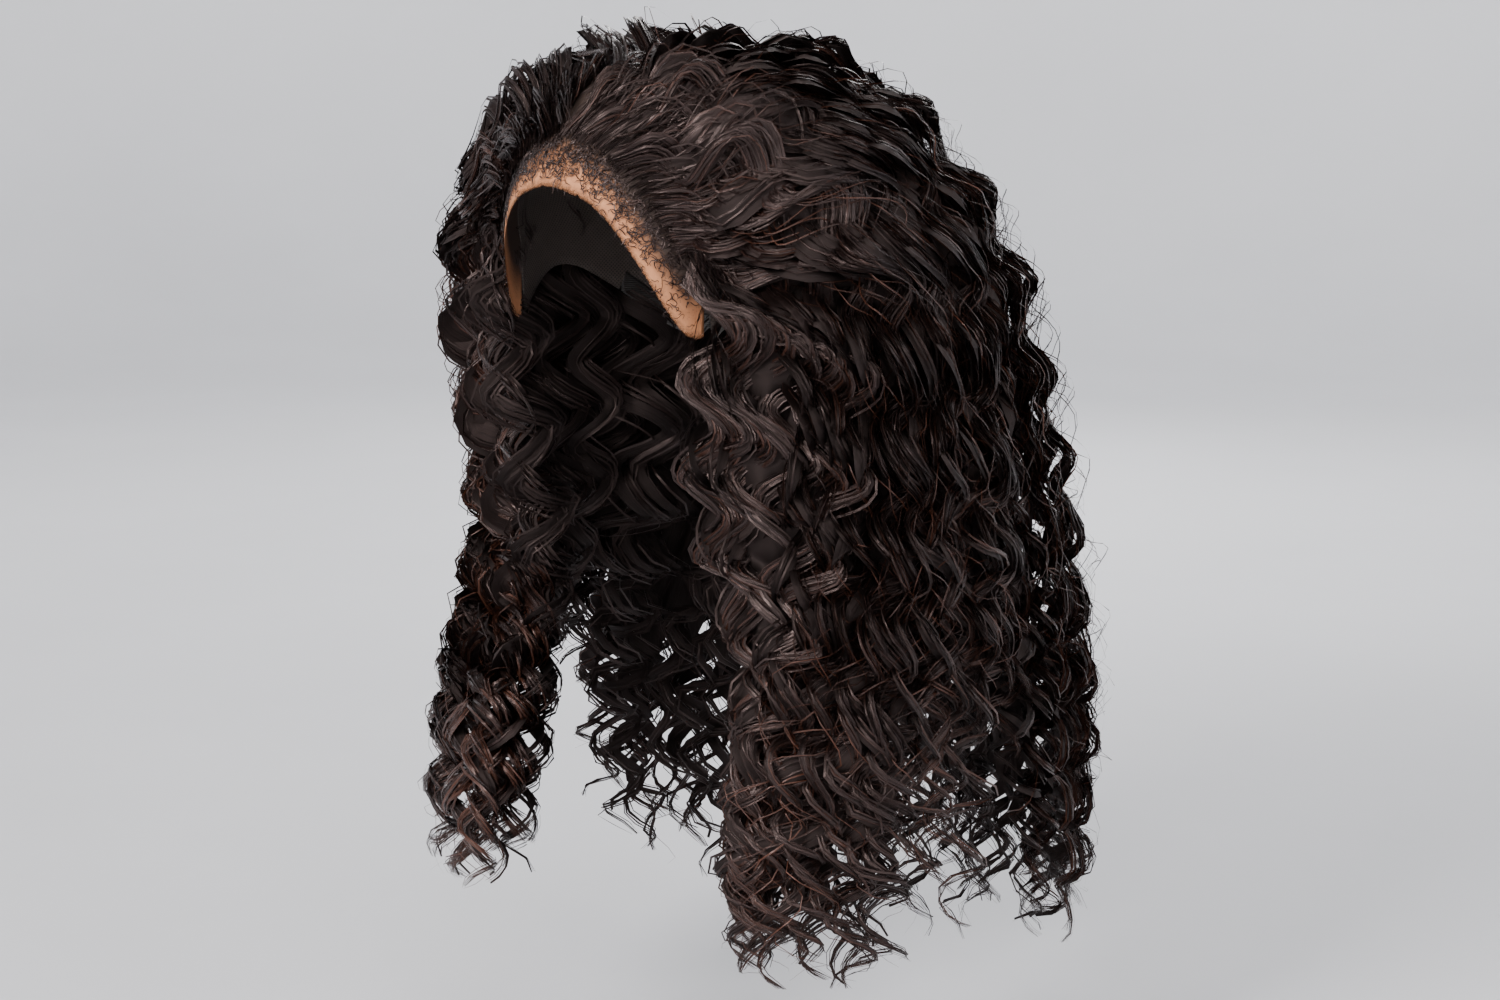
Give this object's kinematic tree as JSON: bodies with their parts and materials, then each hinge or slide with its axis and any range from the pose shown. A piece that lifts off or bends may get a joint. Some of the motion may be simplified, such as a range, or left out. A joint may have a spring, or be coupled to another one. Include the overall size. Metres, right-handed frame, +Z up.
{
  "type": "lace front wig",
  "caption": "Long curly wig on a lace-fronted stretch cap, with open face and neck and falls in front of both shoulders.",
  "frame": {"origin": "inside of the cap's crown, where it rests on the top of the head", "axes": "+Z up along the standing head, -Y the way the wearer faces, +X the wearer's left"},
  "size_m": [0.3865, 0.3745, 0.567],
  "materials": {
    "hair": "soft sheen",
    "lace": "matte net",
    "net": "matte stretch net",
    "elastic": "matte elastic"
  },
  "bodies": {
    "root": {"lace_front": "lace", "cap_crown": "net", "nape_band": "elastic", "hair_crown": "hair", "hair_hairline": "hair", "hair_fall_left": "hair", "hair_fall_right": "hair", "hair_side_left": "hair", "hair_side_right": "hair", "hair_back": "hair"}
  },
  "joints": []
}
